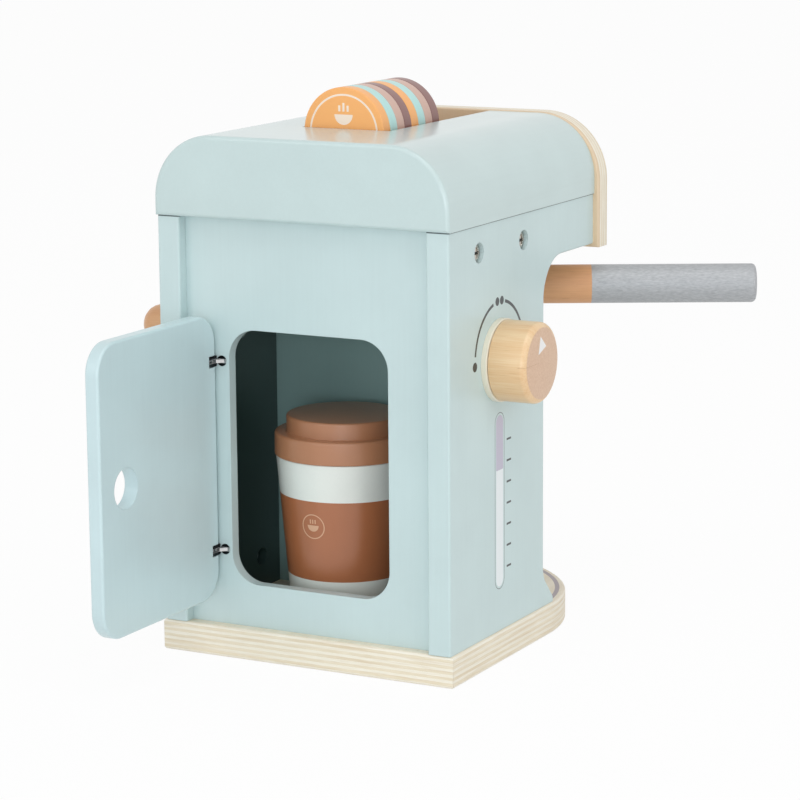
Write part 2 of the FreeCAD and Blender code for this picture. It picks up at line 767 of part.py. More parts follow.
def make_filter_holder():
    body = new_body("filter_holder")
    disc = new_sketch(body, "holder_disc", "XY_Plane", "-holder_height")
    draw_circle(disc, "0", "0", "holder_width / 2")
    draw_circle(disc, "0", "0", "bolt_width / 2 + turning_play")
    pad(body, disc, "holder_height")
    sink = new_sketch(body, "holder_bolt_sink", "XY_Plane", "-holder_height")
    draw_circle(sink, "0", "0", "bolt_head / 2 + running_gap")
    pocket(body, sink, "bolt_head_height + running_gap", with_normal=True)
    bore = new_sketch(body, "holder_handle_bore", "XZ_Plane", "handle_root")
    draw_circle(bore, "0", "handle_height - holder_top", "handle_width / 2 + fixed_play")
    pocket(body, bore, "holder_width / 2", with_normal=True)
    place_on_filter(body, "holder_top")
    return body


def make_filter_handle():
    body = new_body("filter_handle")
    rod = new_sketch(body, "handle_rod", "XZ_Plane", "handle_root + fixed_play")
    draw_circle(rod, "0", "0", "handle_width / 2")
    pad(body, rod, "handle_reach - handle_root - fixed_play")
    round_edges(body, "handle_end", "handle_end_round", lambda e, b: in_plane(e, "y", b.YMin))
    place_on_filter(body, "handle_height")
    return body


def make_pivot_bolt():
    body = new_body("filter_pivot_bolt")
    head = new_sketch(body, "bolt_head_disc", "XY_Plane", "running_gap / 2")
    draw_circle(head, "0", "0", "bolt_head / 2")
    pad(body, head, "bolt_head_height - running_gap / 2")
    rod = new_sketch(body, "bolt_rod", "XY_Plane", "running_gap / 2")
    draw_circle(rod, "0", "0", "bolt_width / 2")
    pad(body, rod, "holder_height + running_gap / 2 + group_height + bolt_bite")
    put(body, "0", "filter_y", "holder_top - holder_height")
    return body


# Capsules, numbered from the back

CAPSULE_COLOURS = ["orange", "mint", "beige", "brown"] * 2


def make_capsules():
    made = []
    for place, colour in enumerate(CAPSULE_COLOURS):
        name = "capsule_%d_%s" % (place + 1, colour)
        body = new_body(name)
        disc = new_sketch(body, name + "_disc", "XZ_Plane")
        draw_circle(disc, "0", "0", "capsule_width / 2")
        pad(body, disc, "capsule_thickness")
        round_edges(body, name + "_edges", "capsule_edge", lambda e, b: True)
        put(body, "slot_centre + slot_width / 2 - capsule_side_gap - capsule_width / 2",
            "back - slot_from_back - capsule_end_gap - %d * (capsule_thickness + capsule_gap)" % place,
            "slot_floor + capsule_floor_gap + capsule_width / 2")
        made.append(body)
    return made


# To-go cup and lid

def make_cup_body():
    body = new_body("cup_body")
    profile = new_sketch(body, "cup_profile", "XZ_Plane")
    draw_outline(profile, [
        ("0", "0"),
        ("cup_foot_width / 2", "0"),
        ("cup_mouth_width / 2", "cup_height"),
        ("cup_mouth_width / 2 - cup_wall", "cup_height"),
        ("cup_foot_width / 2 - cup_wall", "cup_floor"),
        ("0", "cup_floor"),
    ])
    revolve(body, profile, "V_Axis")
    put(body, "cup_x", "cup_y", "base_thickness")
    return body


def make_cup_lid():
    body = new_body("cup_lid")
    plug = "(cup_mouth_width / 2 - cup_wall - lid_plug_play - lid_plug_depth"
    slope = " * (cup_mouth_width - cup_foot_width) / 2 / (cup_height - cup_floor))"
    profile = new_sketch(body, "lid_profile", "XZ_Plane")
    draw_outline(profile, [
        ("0", "-lid_plug_depth"),
        (plug + slope, "-lid_plug_depth"),
        ("cup_mouth_width / 2 - cup_wall - lid_plug_play", "0"),
        ("lid_rim_width / 2", "0"),
        ("lid_rim_width / 2", "lid_rim_height"),
        ("lid_top_width / 2", "lid_rim_height"),
        ("lid_top_width / 2", "lid_rim_height + lid_top_height"),
        ("0", "lid_rim_height + lid_top_height"),
    ])
    revolve(body, profile, "V_Axis")
    rim = number("lid_rim_height")

    def step(edge, box):
        outer_rim = in_plane(edge, "z", rim) and edge.BoundBox.XMax > box.XMax - NEAR
        return in_plane(edge, "z", box.ZMax) or outer_rim
    round_edges(body, "lid_edges", "lid_edge_round", step)
    put(body, "cup_x", "cup_y", "lid_seat")
    return body


# Screws and dowels

def make_side_screws(name, side):
    """Two pan-head screws whose heads lie in the pockets of one side panel."""
    members = []
    inward = "+x" if side == "-" else "-x"
    step = " + " if side == "-" else " - "
    for number_of, turn in enumerate(("0", "screw_distance"), start=1):
        head = cylinder("%s_head_%d" % (name, number_of), "screw_head / 2", "screw_head_height")
        rod = cylinder("%s_rod_%d" % (name, number_of), "screw_width / 2",
                       "screw_head_height + side_thickness - pocket_depth + screw_bite")
        screw = doc.addObject("Part::Fuse", "%s_%d" % (name, number_of))
        screw.Base = head
        screw.Tool = rod
        for piece in (head, rod):
            aim(piece, inward)
            put(piece, side + "case_width / 2" + step + "(pocket_depth - screw_head_height)",
                "back - screw_first - " + turn, "screw_z")
        members.append(screw)
    return group(name, members)


def make_base_screws():
    members = []
    for side in ("-", ""):
        for turn in ("0", "base_screw_distance"):
            tag = "%s_%s" % ("left" if side else "right", "rear" if turn == "0" else "front")
            head = cylinder("base_screw_head_" + tag, "screw_head / 2", "screw_head_height")
            rod = cylinder("base_screw_rod_" + tag, "screw_width / 2",
                           "base_thickness - base_screw_sink + base_screw_bite")
            screw = doc.addObject("Part::Fuse", "base_screw_" + tag)
            screw.Base = head
            screw.Tool = rod
            for piece in (head, rod):
                put(piece, side + "(inner_half + side_thickness / 2)",
                    "back - base_screw_first - " + turn, "base_screw_sink")
            members.append(screw)
    return group("base_screws", members)


def make_cover_dowels():
    members = []
    for side in ("-", ""):
        for row in ("rear", "front"):
            tag = "%s_%s" % ("left" if side else "right", row)
            dowel = cylinder("cover_dowel_" + tag, "dowel_width / 2", "2 * cover_dowel_half")
            put(dowel, side + "cover_dowel_x", "cover_dowel_" + row, "head_top - cover_dowel_half")
            members.append(dowel)
    return group("cover_dowels", members)


def make_front_dowels():
    members = []
    for side in ("-", ""):
        dowel = cylinder("front_dowel_" + ("left" if side else "right"), "dowel_width / 2",
                         "front_dowel_in_panel + front_dowel_in_deck")
        aim(dowel, "-y")
        put(dowel, side + "front_dowel_x", "head_face + front_dowel_in_deck", "screw_z")
        members.append(dowel)
    return group("front_panel_dowels", members)


def build():
    fill_sheet()
    made = [make_base_board(), make_side_panel("left_side_panel", "-"), make_side_panel("right_side_panel", "")]
    made += [make_back_panel(), make_front_wall(), make_head_deck(), make_top_cover(), make_front_panel()]
    made += [make_door()] + make_hinge("upper", " + ") + make_hinge("lower", " - ")
    made += [make_dial_knob(), make_dial_washer(), make_peg_knob()] + make_knob_screws()
    made += [make_group_head(), make_filter_holder(), make_filter_handle(), make_pivot_bolt()]
    made += make_capsules() + [make_cup_body(), make_cup_lid()]
    made += [make_side_screws("left_side_screws", "-"), make_side_screws("right_side_screws", "")]
    made += [make_base_screws(), make_cover_dowels(), make_front_dowels()]
    doc.recompute()
    return made


def check(made):
    for thing in doc.Objects:
        bad = [word for word in ("Invalid", "Error") if word in thing.State]
        if bad:
            raise RuntimeError(thing.Name + " is " + ", ".join(bad))
    for thing in made:
        if thing.Shape.isNull() or not thing.Shape.isValid():
            raise RuntimeError(thing.Label + " has no valid shape")


def write(made):
    os.makedirs("parts", exist_ok=True)
    for thing in made:
        thing.Shape.exportStep("parts/" + thing.Label + ".step")
        box = thing.Shape.BoundBox
        print("%-26s %d solid  x %.1f..%.1f  y %.1f..%.1f  z %.1f..%.1f" % (
            thing.Label, len(thing.Shape.Solids), box.XMin, box.XMax, box.YMin, box.YMax, box.ZMin, box.ZMax))


parts = build()
check(parts)
write(parts)
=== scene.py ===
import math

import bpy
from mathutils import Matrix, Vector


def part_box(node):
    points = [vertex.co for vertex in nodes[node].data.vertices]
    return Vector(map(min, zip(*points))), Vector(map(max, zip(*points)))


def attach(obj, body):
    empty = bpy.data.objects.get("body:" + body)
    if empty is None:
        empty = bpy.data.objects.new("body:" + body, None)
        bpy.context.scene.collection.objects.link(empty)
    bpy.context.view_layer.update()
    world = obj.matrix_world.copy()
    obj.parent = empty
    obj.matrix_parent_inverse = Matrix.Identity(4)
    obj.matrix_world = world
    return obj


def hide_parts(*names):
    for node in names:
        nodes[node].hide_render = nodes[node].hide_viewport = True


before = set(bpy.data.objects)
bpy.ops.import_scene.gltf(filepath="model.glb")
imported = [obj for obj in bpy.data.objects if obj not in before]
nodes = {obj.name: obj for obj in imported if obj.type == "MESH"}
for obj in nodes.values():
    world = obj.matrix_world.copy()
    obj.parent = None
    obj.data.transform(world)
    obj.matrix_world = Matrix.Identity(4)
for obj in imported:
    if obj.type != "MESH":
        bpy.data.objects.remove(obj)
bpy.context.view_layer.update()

# %% [markdown]
# # A wooden toy coffee maker, dressed for the camera
#
# The solids come from the frame and already have the right size and place. This lesson gives each of them
# the surface that the real toy has: satin paint, clear lacquered beech, plywood edges, small steel screws.
# Turned pieces, such as the cup and the knobs, are built again here with a finer outline.
# The row frame is in metres, +Z is up, and the front of the toy faces -Y.

MM = 0.001


def colour(code):
    """An sRGB hex colour as the linear values that shaders work in."""
    parts = [int(code[i:i + 2], 16) / 255 for i in (1, 3, 5)]
    return [p / 12.92 if p <= 0.04045 else ((p + 0.055) / 1.055) ** 2.4 for p in parts] + [1.0]


def add(tree, kind, values=None, **settings):
    """Adds a node; values maps its input names or numbers to a constant or to another node's output."""
    made = tree.nodes.new("ShaderNode" + kind)
    for name, value in settings.items():
        setattr(made, name, value)
    for name, value in (values or {}).items():
        if isinstance(value, bpy.types.NodeSocket):
            tree.links.new(value, made.inputs[name])
        else:
            made.inputs[name].default_value = value
    return made


print("frame has", len(nodes), "nodes")

# %% [markdown]
# ## Small sums and masks
#
# Prints on the toy are drawn by distance: a dot is where the distance to its middle is under its radius.
# Each mask is 1 inside the print and 0 outside, with an edge a twentieth of a millimetre soft.
# All distances are in millimetres, read from the object's own coordinates, so a print stays where it is.

# %% Masks
def calc(tree, operation, *values, clamp=False):
    made = add(tree, "Math", dict(enumerate(values)), operation=operation, use_clamp=clamp)
    return made.outputs[0]


def places(tree):
    """The x, y and z of the surface point, in millimetres."""
    spot = add(tree, "TexCoord").outputs["Object"]
    split = add(tree, "SeparateXYZ", {0: spot})
    return [calc(tree, "MULTIPLY", split.outputs[i], 1000.0) for i in range(3)]


def inside(tree, distance, soft=0.05):
    """1 where the signed distance is under 0."""
    return calc(tree, "MULTIPLY_ADD", distance, -1.0 / soft, 0.5, clamp=True)


def between(tree, value, low, high, soft=0.05):
    middle, half = (low + high) / 2, (high - low) / 2
    off = calc(tree, "ABSOLUTE", calc(tree, "SUBTRACT", value, middle))
    return inside(tree, calc(tree, "SUBTRACT", off, half), soft)


def both(tree, *masks):
    made = masks[0]
    for mask in masks[1:]:
        made = calc(tree, "MULTIPLY", made, mask)
    return made


def either(tree, *masks):
    made = masks[0]
    for mask in masks[1:]:
        made = calc(tree, "MAXIMUM", made, mask)
    return made


def length(tree, across, up):
    squares = calc(tree, "MULTIPLY", across, across)
    return calc(tree, "SQRT", calc(tree, "MULTIPLY_ADD", up, up, squares))


def dot(tree, across, up, middle_across, middle_up, radius):
    away = length(tree, calc(tree, "SUBTRACT", across, middle_across), calc(tree, "SUBTRACT", up, middle_up))
    return inside(tree, calc(tree, "SUBTRACT", away, radius))


def lay(tree, mask, under, over):
    """The colour over where the mask is 1, and the colour under elsewhere."""
    made = add(tree, "Mix", {0: mask}, data_type="RGBA")
    for index, value in ((6, under), (7, over)):
        if isinstance(value, bpy.types.NodeSocket):
            tree.links.new(value, made.inputs[index])
        else:
            made.inputs[index].default_value = value
    return made.outputs[2]


# %% [markdown]
# ## Grain and mottle
#
# Wood grain is noise pulled long in one direction: fibres are about half a millimetre wide and some
# centimetres long. Paint on wood is never quite even, so it gets a faint cloudiness and a fine orange peel.
# Sharp edges of the solids get rounded normals, because sanded edges always catch a thin line of light.

# %% Surfaces
def noise(tree, size_mm, detail=3.0, stretch=None, turn=(0, 0, 0), rough=0.55):
    """Noise with features of about size_mm, longer by the stretch factors along x, y and z."""
    spot = add(tree, "TexCoord").outputs["Object"]
    factors = stretch or (1, 1, 1)
    moved = add(tree, "Mapping", {0: spot, 2: [math.radians(a) for a in turn],
                                  3: [size_mm * MM * f for f in factors]}, vector_type="TEXTURE")
    made = add(tree, "TexNoise", {"Vector": moved.outputs[0], "Scale": 1.0, "Detail": detail,
                                  "Roughness": rough})
    return made.outputs["Fac"]


def spread(tree, value, low, high):
    """Stretches the part of a noise between low and high over 0 to 1."""
    made = add(tree, "MapRange", {0: value, 1: low, 2: high, 3: 0.0, 4: 1.0})
    return made.outputs[0]


def new_material(name, roughness, coat=0.0, coat_roughness=0.1, metallic=0.0, ior=1.5):
    made = bpy.data.materials.new(name)
    made.use_nodes = True
    tree = made.node_tree
    shader = tree.nodes["Principled BSDF"]
    shader.inputs["Roughness"].default_value = roughness
    shader.inputs["Metallic"].default_value = metallic
    shader.inputs["IOR"].default_value = ior
    shader.inputs["Coat Weight"].default_value = coat
    shader.inputs["Coat Roughness"].default_value = coat_roughness
    return made, tree, shader


def rounded_bump(tree, shader, height, depth_mm, edge_mm=0.5):
    """Fine relief on top of normals that are rounded at sharp edges."""
    edge = add(tree, "Bevel", {0: edge_mm * MM}, samples=4)
    bump = add(tree, "Bump", {"Height": height, "Distance": depth_mm * MM, "Normal": edge.outputs[0]})
    tree.links.new(bump.outputs[0], shader.inputs["Normal"])


def paint_layer(tree, code, streaks=(1, 1, 30)):
    """Satin paint: a cloudy tone and the grain below showing as faint streaks."""
    base = colour(code)
    light = [min(1.0, c * 1.03) for c in base[:3]] + [1.0]
    dark = [c * 0.97 for c in base[:3]] + [1.0]
    cloud = spread(tree, noise(tree, 38.0), 0.3, 0.7)
    grain = spread(tree, noise(tree, 1.6, stretch=streaks), 0.35, 0.65)
    tone = calc(tree, "MULTIPLY_ADD", grain, 0.22, calc(tree, "MULTIPLY", cloud, 0.78))
    return lay(tree, tone, dark, light)


def paint(name, code, roughness=0.36, coat=0.25, streaks=(1, 1, 30), prints=None):
    """Painted wood; prints is a function that lays further colours over the paint."""
    made, tree, shader = new_material(name, roughness, coat, 0.16)
    shown = paint_layer(tree, code, streaks)
    if prints:
        shown = prints(tree, shown)
    tree.links.new(shown, shader.inputs["Base Color"])
    peel = noise(tree, 0.9, detail=2.0)
    grain = noise(tree, 0.7, stretch=streaks)
    rounded_bump(tree, shader, calc(tree, "ADD", peel, calc(tree, "MULTIPLY", grain, 0.6)), 0.02)
    return made


def wood_layer(tree, pale, deep, stretch, turn=(0, 0, 0)):
    """Beech: broad bands, fine fibres and short dark flecks along the grain."""
    bands = spread(tree, noise(tree, 7.0, stretch=stretch, turn=turn), 0.3, 0.7)
    fibres = spread(tree, noise(tree, 0.6, stretch=stretch, turn=turn), 0.3, 0.7)
    tone = calc(tree, "MULTIPLY_ADD", fibres, 0.4, calc(tree, "MULTIPLY", bands, 0.6))
    shown = lay(tree, tone, colour(deep), colour(pale))
    flecks = spread(tree, noise(tree, 0.45, detail=1.0, stretch=stretch, turn=turn), 0.68, 0.78)
    return lay(tree, calc(tree, "MULTIPLY", flecks, 0.3), shown, [c * 0.6 for c in colour(deep)[:3]] + [1.0])


def wood(name, pale, deep, stretch, turn=(0, 0, 0), roughness=0.42, prints=None):
    made, tree, shader = new_material(name, roughness, 0.15, 0.2)
    shown = wood_layer(tree, pale, deep, stretch, turn)
    if prints:
        shown = prints(tree, shown)
    tree.links.new(shown, shader.inputs["Base Color"])
    rounded_bump(tree, shader, noise(tree, 0.5, stretch=stretch, turn=turn), 0.03)
    return made


# %% [markdown]
# ## Plywood
#
# Seen on the edge, plywood is a pile of thin sheets. Every second sheet shows its fibres from the side,
# pale and streaky, and the ones between show them from the end, a little darker. A thin glue line parts
# them. The faces show the long grain of the outer sheet. The surface's direction tells edge from face.

# %% Plywood
def plywood(name, axis, low_mm, high_mm, sheets, prints=None):
    """axis is the number of the coordinate that runs through the board's thickness."""
    made, tree, shader = new_material(name, 0.5, 0.12, 0.25)
    through = places(tree)[axis]
    face_stretch = [1.0, 1.0, 1.0]
    face_stretch[1 if axis == 2 else 2] = 26.0
    face = wood_layer(tree, "#efe6d4", "#e2d3b8", face_stretch)
    edge_stretch = [18.0, 18.0, 18.0]
    edge_stretch[axis] = 0.5
    wobble = calc(tree, "MULTIPLY", calc(tree, "SUBTRACT", noise(tree, 1.3, stretch=edge_stretch), 0.5), 0.35)
    layer = calc(tree, "DIVIDE", calc(tree, "SUBTRACT", calc(tree, "ADD", through, wobble), low_mm),
                 (high_mm - low_mm) / sheets)
    step = calc(tree, "FLOOR", layer)
    odd = calc(tree, "MODULO", calc(tree, "ADD", step, 40.0), 2.0)
    streak = spread(tree, noise(tree, 0.5, stretch=edge_stretch), 0.3, 0.7)
    long_sheet = lay(tree, streak, colour("#ebe2cf"), colour("#f6f1e4"))
    end_sheet = lay(tree, streak, colour("#dfd1b5"), colour("#efe5cf"))
    edge = lay(tree, odd, long_sheet, end_sheet)
    part_way = calc(tree, "FRACT", layer)
    glue = between(tree, part_way, -0.09, 0.09, 0.08)
    patchy = spread(tree, noise(tree, 6.0), 0.35, 0.75)
    edge = lay(tree, calc(tree, "MULTIPLY", both(tree, glue, patchy), 0.4), edge, colour("#bda681"))
    tan = spread(tree, noise(tree, 2.2, stretch=edge_stretch), 0.52, 0.72)
    edge = lay(tree, calc(tree, "MULTIPLY", tan, 0.4), edge, colour("#cbb08a"))
    facing = add(tree, "SeparateXYZ", {0: add(tree, "NewGeometry").outputs["True Normal"]}).outputs[axis]
    is_face = calc(tree, "GREATER_THAN", calc(tree, "ABSOLUTE", facing), 0.75)
    shown = lay(tree, is_face, edge, face)
    if prints:
        shown = prints(tree, shown)
    tree.links.new(shown, shader.inputs["Base Color"])
    rounded_bump(tree, shader, calc(tree, "ADD", streak, part_way), 0.03)
    return made


def dress(node, material):
    """Gives a solid from the frame one material."""
    mesh = nodes[node].data
    if not mesh.materials:
        mesh.materials.append(material)
    for index in range(len(mesh.materials)):
        mesh.materials[index] = material


# %% [markdown]
# ## Boards of the case
#
# The base carries a painted ring line near its edge, in a warm grey. The left panel has the dial's arcs
# and dots and the water gauge with its ticks. The walls of the slot in the cover are bare wood.
#
# Two areas are painted darker than the real finish probably is, to match the shade in the photograph: the
# inner faces of the cup space, and a line under the cover, in place of the dark joint there.

# %% Case
MINT = "#c3d6d6"
BACK = 90.7
KNOB_Y = BACK - 51.2
KNOB_Z = 143.6
DIAL_Z = 145.5
INK = "#2f3436"
RING_MIDDLE = -13.7
GAUGE_Y = BACK - 51.1
GAUGE_MIDDLE, GAUGE_HALF, GAUGE_LEVEL = 77.0, 37.0, 91.8
TICK_START, TICK_STEP = 44.3, 10.1


def ring_line(tree, under):
    x, y, z = places(tree)
    ahead = calc(tree, "SUBTRACT", y, RING_MIDDLE)
    away = length(tree, x, ahead)
    line = both(tree, between(tree, away, 71.9, 74.1, 0.2), between(tree, z, 13.5, 15.2), inside(tree, ahead))
    return lay(tree, line, under, colour("#a3979b"))


def painted_joint_shade(tree, under):
    """Painted shade: a dark line under the cover, standing for the shadow in the thin joint there."""
    z = places(tree)[2]
    return lay(tree, between(tree, z, 207.95, 208.8, 0.3), under, colour("#36464a"))


def shaded_inside(tree, under):
    x, y, z = places(tree)
    under = painted_joint_shade(tree, under)
    inner = both(tree, between(tree, x, -69.0, 69.0, 0.4), between(tree, y, 2.9, 79.3))
    return lay(tree, inner, under, paint_layer(tree, "#3b514e"))


def painted_shade_back(tree, under):
    """Painted shade on the front wall's inner face, darker as the other inner faces of the cup space are."""
    y = places(tree)[1]
    return lay(tree, inside(tree, calc(tree, "SUBTRACT", 2.2, y), 0.3), under, paint_layer(tree, "#8caaa6"))


def dial_and_gauge(tree, under):
    under = shaded_inside(tree, under)
    y, z = places(tree)[1:]
    across = calc(tree, "SUBTRACT", y, KNOB_Y)
    up = calc(tree, "SUBTRACT", z, DIAL_Z)
    away = length(tree, across, up)
    turn = calc(tree, "MULTIPLY", calc(tree, "ARCTAN2", up, across), 180 / math.pi)
    line = between(tree, away, 24.5, 26.0)
    arcs = either(tree, both(tree, line, between(tree, turn, 7.5, 75.5, 0.2)),
                  both(tree, line, between(tree, turn, 103.0, 172.0, 0.2)))
    dots = []
    for angle, size in ((-3.0, 2.2), (84.8, 2.0), (95.4, 2.0), (183.0, 2.2)):
        a = math.radians(angle)
        dots.append(dot(tree, across, up, 25.5 * math.cos(a), 25.5 * math.sin(a), size))
    shown = lay(tree, either(tree, arcs, *dots), under, colour(INK))

    beside = calc(tree, "SUBTRACT", y, GAUGE_Y)
    off = calc(tree, "ABSOLUTE", calc(tree, "SUBTRACT", z, GAUGE_MIDDLE))
    beyond = calc(tree, "MAXIMUM", calc(tree, "SUBTRACT", off, GAUGE_HALF), 0.0)
    away = length(tree, beside, beyond)
    empty = inside(tree, calc(tree, "SUBTRACT", GAUGE_LEVEL, z))
    fill = lay(tree, empty, colour("#e6ecee"), colour("#bdb8c9"))
    shown = lay(tree, inside(tree, calc(tree, "SUBTRACT", away, 3.7)), shown, fill)
    shown = lay(tree, between(tree, away, 4.6, 5.0), shown, colour("#6d7678"))
    beat = calc(tree, "WRAP", z, TICK_START + TICK_STEP / 2, TICK_START - TICK_STEP / 2)
    ticks = both(tree, between(tree, beat, 43.8, 44.8), between(tree, z, 40.0, 108.0),
                 between(tree, y, BACK - 63.2, BACK - 58.5))
    return lay(tree, ticks, shown, colour(INK))


def bare_slot(tree, under):
    x, y, z = places(tree)
    hole = both(tree, between(tree, x, -20.4, 26.4), between(tree, y, -66.0, 40.9),
                between(tree, z, 222.0, 246.0))
    bare = wood_layer(tree, "#cdab80", "#b89262", (1, 26, 1))
    return lay(tree, hole, under, bare)


dress("base_board", plywood("base_plywood_clear_lacquer", 2, 0.0, 15.0, 11, ring_line))
board_paint = paint("board_mint_satin_paint", MINT)
for node in ("head_deck", "group_head"):
    dress(node, board_paint)
# The door's paint is bluer than the board mint, and a little lighter as painted light against the shade that
# the case casts on it.
dress("door", paint("door_mint_satin_paint", "#c5dadd"))
dress("front_wall", paint("front_wall_mint_satin_paint", MINT, prints=painted_shade_back))
dress("back_panel", paint("back_mint_satin_paint", MINT, prints=painted_joint_shade))
dress("right_side_panel", paint("plain_side_mint_satin_paint", MINT, prints=shaded_inside))
dress("left_side_panel", paint("dial_side_mint_satin_paint", MINT, prints=dial_and_gauge))
dress("top_cover", paint("cover_mint_gloss_paint", "#c0d2d1", 0.3, 0.5, (1, 26, 1), bare_slot))
print("case dressed")

# %% [markdown]
# ## Turned pieces
#
# A lathe function spins an outline about an axis. The outline is a list of corners, each with a radius, a
# place along the axis and how far the corner is rounded. It has 128 steps round, so no flat shows.

# %% Lathe
def rounded(corners, steps=7):
    """The outline with its corners rounded by short arcs."""
    made = []
    for i, (radius, along, bend) in enumerate(corners):
        here = Vector((radius, along))
        if bend == 0 or i in (0, len(corners) - 1):
            made.append(here)
            continue
        back = (Vector(corners[i - 1][:2]) - here).normalized()
        ahead = (Vector(corners[i + 1][:2]) - here).normalized()
        half = back.angle(ahead) / 2
        reach = bend / math.tan(half)
        middle = here + (back + ahead).normalized() * (bend / math.sin(half))
        first, last = here + back * reach - middle, here + ahead * reach - middle
        for k in range(steps + 1):
            mixed = first.lerp(last, k / steps).normalized() * bend
            made.append(middle + mixed)
    return made


def set_mesh(name, points, faces, body, material, replaced):
    mesh = bpy.data.meshes.new(name)
    mesh.from_pydata([p * MM for p in points], [], faces)
    mesh.validate()
    mesh.shade_smooth()
    mesh.set_sharp_from_angle(angle=math.radians(38))
    mesh.materials.append(material)
    piece = bpy.data.objects.new(name, mesh)
    bpy.context.scene.collection.objects.link(piece)
    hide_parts(*replaced)
    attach(piece, body)
    return piece


def lathe_points(corners, place, axis, steps=128):
    """Points and faces of an outline spun about an axis through place."""
    outline = rounded(corners)
    turn = Vector(axis).to_track_quat("Z", "Y").to_matrix().to_4x4()
    matrix = Matrix.Translation(place) @ turn
    points, rings = [], []
    for radius, along in outline:
        if radius < 1e-6:
            rings.append([len(points)])
            points.append(matrix @ Vector((0, 0, along)))
            continue
        rings.append(list(range(len(points), len(points) + steps)))
        for k in range(steps):
            a = 2 * math.pi * k / steps
            points.append(matrix @ Vector((radius * math.cos(a), radius * math.sin(a), along)))
    faces = []
    for low, high in zip(rings, rings[1:]):
        for k in range(steps):
            n = (k + 1) % steps
            corners_here = [low[k % len(low)], low[n % len(low)], high[n % len(high)], high[k % len(high)]]
            face = []
            for c in corners_here:
                if c not in face:
                    face.append(c)
            if len(face) > 2:
                faces.append(face)
    return points, faces


def lathe(name, corners, place, axis, body, material, replaced):
    points, faces = lathe_points(corners, place, axis)
    return set_mesh(name, points, faces, body, material, replaced)


# %% [markdown]
# ## Front panel
#
# The plywood panel that closes the head stands just proud of the cover, with wide shoulders and softened
# edges. Its outline is drawn once and repeated through the thickness, a little smaller at both faces.

# %% Front panel
PANEL_HALF, PANEL_LOW, PANEL_TOP, SHOULDER = 78.3, 182.0, 246.8, 32.4
PANEL_REAR, PANEL_FACE, EDGE = -64.3, -75.6, 0.9


def panel_outline(inset):
    """A rectangle with round upper corners, drawn in by the inset."""
    half, low, high, bend = PANEL_HALF - inset, PANEL_LOW + inset, PANEL_TOP - inset, SHOULDER - inset
    made = [(-half, low), (half, low)]
    for side, start in ((1, 0), (-1, 90)):
        for k in range(25):
            a = math.radians(start + 90 * k / 24)
            made.append((side * (half - bend) + bend * math.cos(a), high - bend + bend * math.sin(a)))
    return made


def browner_back(tree, under):
    """Browner within about two millimetres of the rear face, beside the cover."""
    y = places(tree)[1]
    soft = inside(tree, calc(tree, "SUBTRACT", -66.4, y), 0.7)
    return lay(tree, calc(tree, "MULTIPLY", soft, 0.6), under, colour("#d6b284"))


turns = [math.radians(90 * k / 5) for k in range(6)]
layers = [(PANEL_REAR - EDGE * (1 - math.cos(a)), EDGE * (1 - math.sin(a))) for a in turns]
layers += [(PANEL_FACE + EDGE * (1 - math.cos(a)), EDGE * (1 - math.sin(a))) for a in reversed(turns)]
points = [Vector((x, y, z)) for y, inset in layers for x, z in panel_outline(inset)]
count = len(panel_outline(0))
faces = [[r * count + k, r * count + (k + 1) % count, (r + 1) * count + (k + 1) % count, (r + 1) * count + k]
         for r in range(len(layers) - 1) for k in range(count)]
faces += [list(range(count))[::-1], list(range(len(points) - count, len(points)))]
front_ply = plywood("front_plywood_clear_lacquer", 1, PANEL_FACE, PANEL_REAR, 9, browner_back)
set_mesh("front_panel_rounded", points, faces, "case", front_ply, ["front_panel"])

# %% [markdown]
# ## Knobs
#
# The dial knob is turned from pale beech with its grain along the axle. Its face shows the grain's ends,
# darker and pinker, with a small white arrow. The disc below it is painted ivory.

# %% Knobs
def dial_face(tree, under):
    x, y, z = places(tree)
    face = inside(tree, calc(tree, "ADD", x, 97.1), 0.1)
    fine = spread(tree, noise(tree, 0.8), 0.3, 0.7)
    shown = lay(tree, face, under, lay(tree, fine, colour("#cfa98a"), colour("#dcbb9f")))
    crack = both(tree, between(tree, calc(tree, "SUBTRACT", z, KNOB_Z + 0.6), -0.12, 0.12, 0.1),
                 inside(tree, calc(tree, "SUBTRACT", KNOB_Y + 4.0, y), 1.0),
                 inside(tree, calc(tree, "ADD", x, 93.6)))
    shown = lay(tree, calc(tree, "MULTIPLY", crack, 0.5), shown, colour("#b07f58"))
    sides = []
    for (y1, z1), (y2, z2) in zip(ARROW, ARROW[1:] + ARROW[:1]):
        dy, dz = y2 - y1, z2 - z1
        size = math.hypot(dy, dz)
        part = calc(tree, "MULTIPLY", calc(tree, "SUBTRACT", y, y1), dz / size)
        sides.append(calc(tree, "MULTIPLY_ADD", calc(tree, "SUBTRACT", z, z1), -dy / size, part))
    arrow = inside(tree, either(tree, *sides))
    return lay(tree, both(tree, arrow, face), shown, colour("#ecebea"))


ARROW = [(41.3, 156.3), (35.4, 151.0), (43.5, 148.0)]
knob_wood = wood("dial_knob_beech_clear_lacquer", "#efd3aa", "#deb280", (24, 1, 1), roughness=0.34,
                 prints=dial_face)
ivory = paint("disc_ivory_satin_paint", "#e4ddc9")
lathe("dial_knob_turned", [(0, 0, 0), (18.8, 0, 0.4), (18.8, 18.6, 3.0), (0, 18.6, 0)],
      (-78.6, KNOB_Y, KNOB_Z), (-1, 0, 0), "dial_knob", knob_wood, ["dial_knob"])
lathe("dial_disc_turned", [(2.1, 0, 0), (19.4, 0, 0), (19.4, 2.8, 0.5), (2.1, 2.8, 0), (2.1, 0, 0)],
      (-75.6, KNOB_Y, KNOB_Z), (-1, 0, 0), "case", ivory, ["dial_knob_washer"])
peg_wood = wood("peg_beech_clear_lacquer", "#d9ab80", "#c79266", (24, 1, 1))
lathe("peg_knob_turned", [(0, 0.2, 0), (9.6, 0.2, 0.3), (9.6, 39.6, 8.6), (0, 39.6, 0)],
      (75.6, KNOB_Y, 147.0), (1, 0, 0), "peg_knob", peg_wood, ["peg_knob"])

